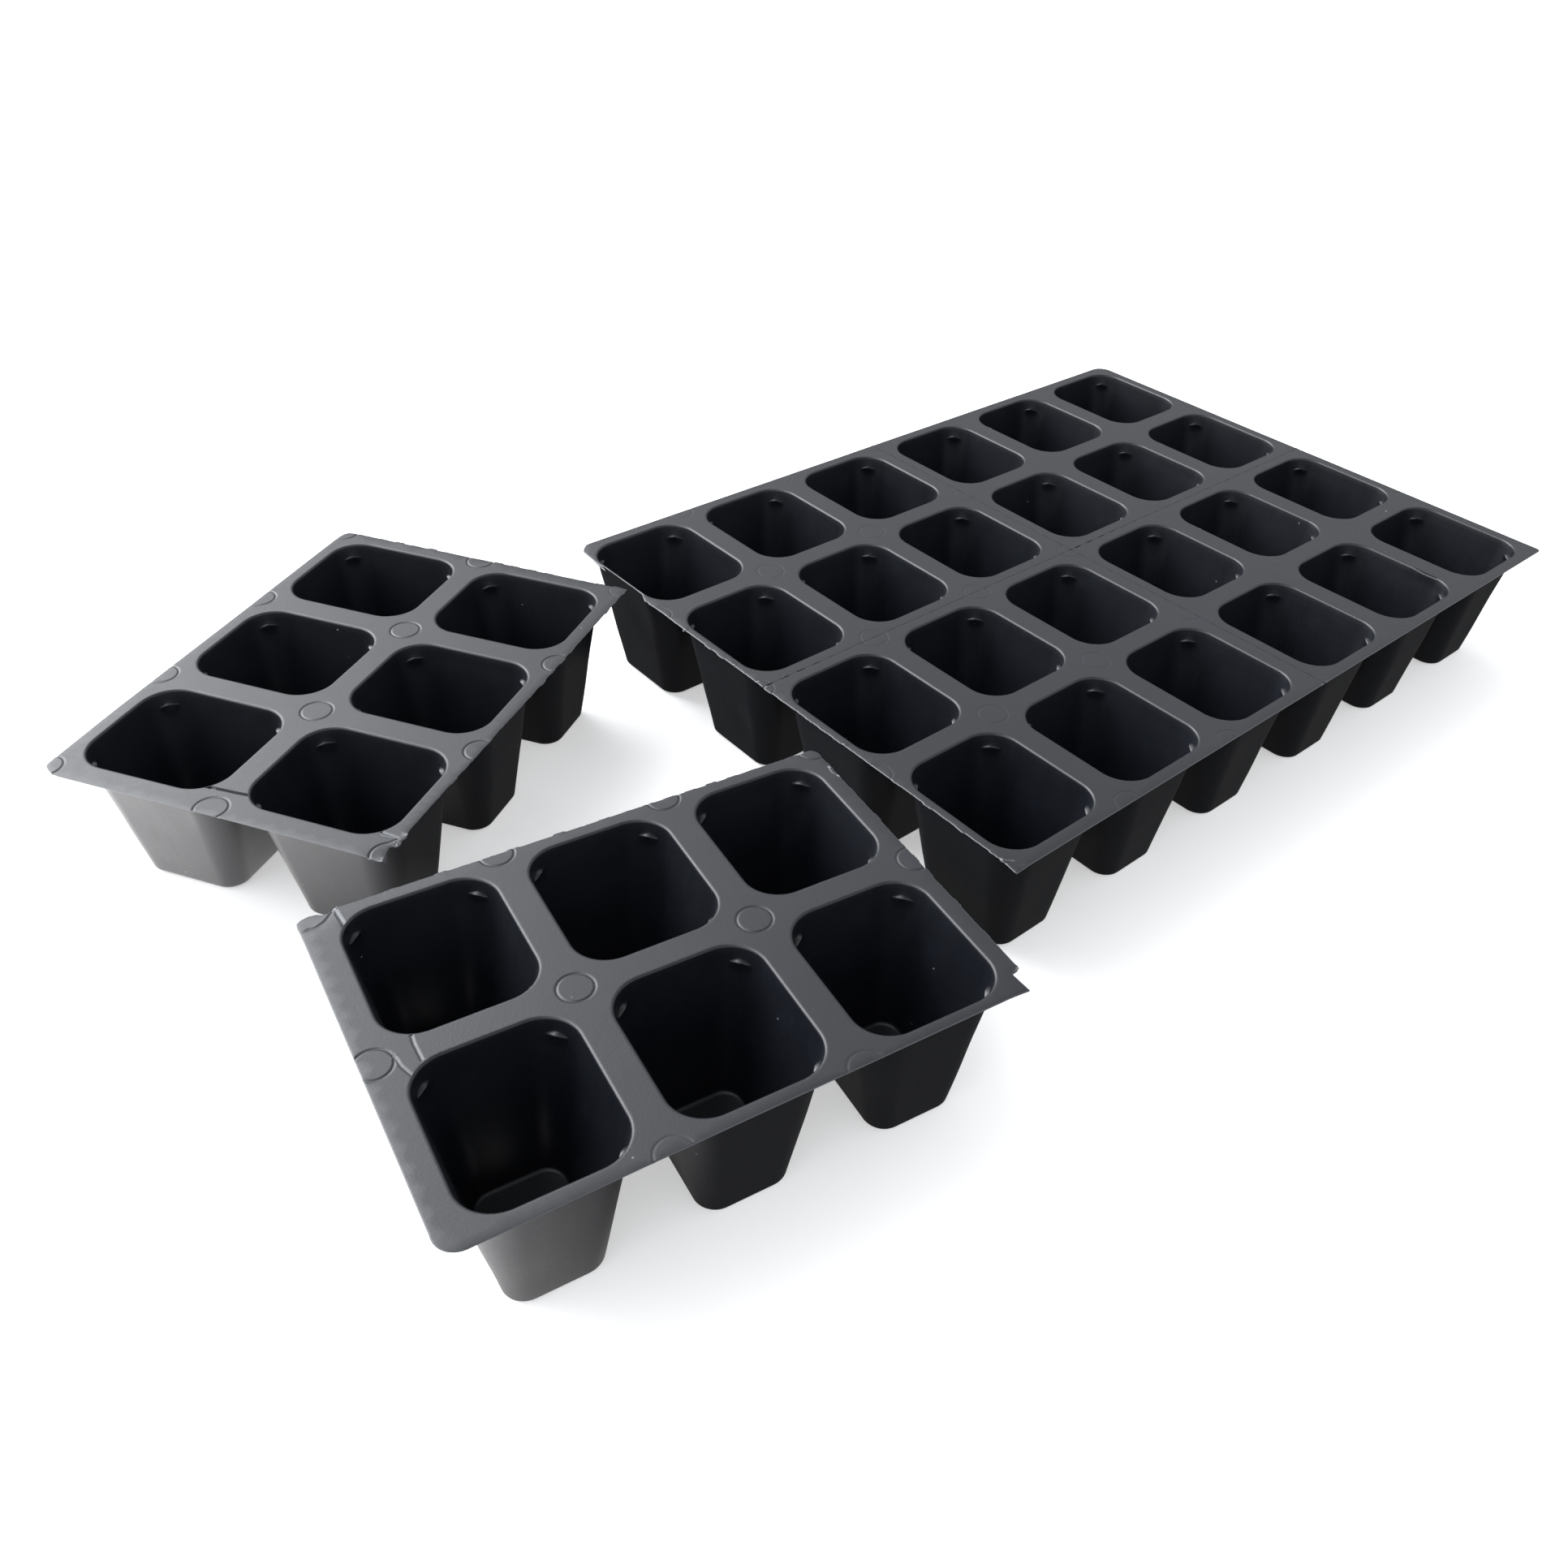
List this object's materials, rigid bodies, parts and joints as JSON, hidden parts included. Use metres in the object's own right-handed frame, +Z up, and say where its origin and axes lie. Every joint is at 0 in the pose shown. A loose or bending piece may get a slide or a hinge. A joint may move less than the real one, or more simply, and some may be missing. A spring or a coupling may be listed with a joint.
{
  "type": "plug tray",
  "caption": "Formed plastic plug tray sheet with tapered drained cells in snap-apart packs, some still joined along perforated lines and some snapped off beside it.",
  "frame": {"origin": "middle of the bounding box of all six packs, at the level that the cells' feet stand on", "axes": "+X along the joined packs' long side, away from the snapped-off packs; +Y across the sheet towards the base pack's long edge; +Z up"},
  "size_m": [0.5714, 0.3752, 0.055],
  "materials": {
    "joined_plastic": "satin, formed dark grey sheet",
    "loose_plastic": "satin, formed dark grey sheet, nearer the light"
  },
  "bodies": {
    "base": {"base_pack": "joined_plastic"},
    "end": {"end_pack": "joined_plastic"},
    "side": {"side_pack": "joined_plastic"},
    "corner": {"corner_pack": "joined_plastic"},
    "loose_left": {"loose_pack_left": "loose_plastic"},
    "loose_front": {"loose_pack_front": "loose_plastic"}
  },
  "joints": [
    {"name": "end_fold", "type": "hinge", "parent": "base", "child": "end", "pos_m": [0.11057, 0.05043, 0.055], "axis": [0, -1, 0], "range_deg": [0, 90]},
    {"name": "side_fold", "type": "hinge", "parent": "base", "child": "side", "pos_m": [0.02127, -0.01582, 0.0544], "axis": [-1, 0, 0], "range_deg": [-24, 0]},
    {"name": "corner_fold", "type": "hinge", "parent": "end", "child": "corner", "pos_m": [0.19817, -0.01582, 0.0544], "axis": [-1, 0, 0], "range_deg": [-24, 0]},
    {"name": "left_lift", "type": "slide", "parent": "base", "child": "loose_left", "axis": [0, 0, 1], "range_m": [0, 0.12]},
    {"name": "front_lift", "type": "slide", "parent": "base", "child": "loose_front", "axis": [0, 0, 1], "range_m": [0, 0.12]}
  ],
  "couplings": [
    {"joint": "corner_fold", "follows": "side_fold", "ratio": 1}
  ]
}
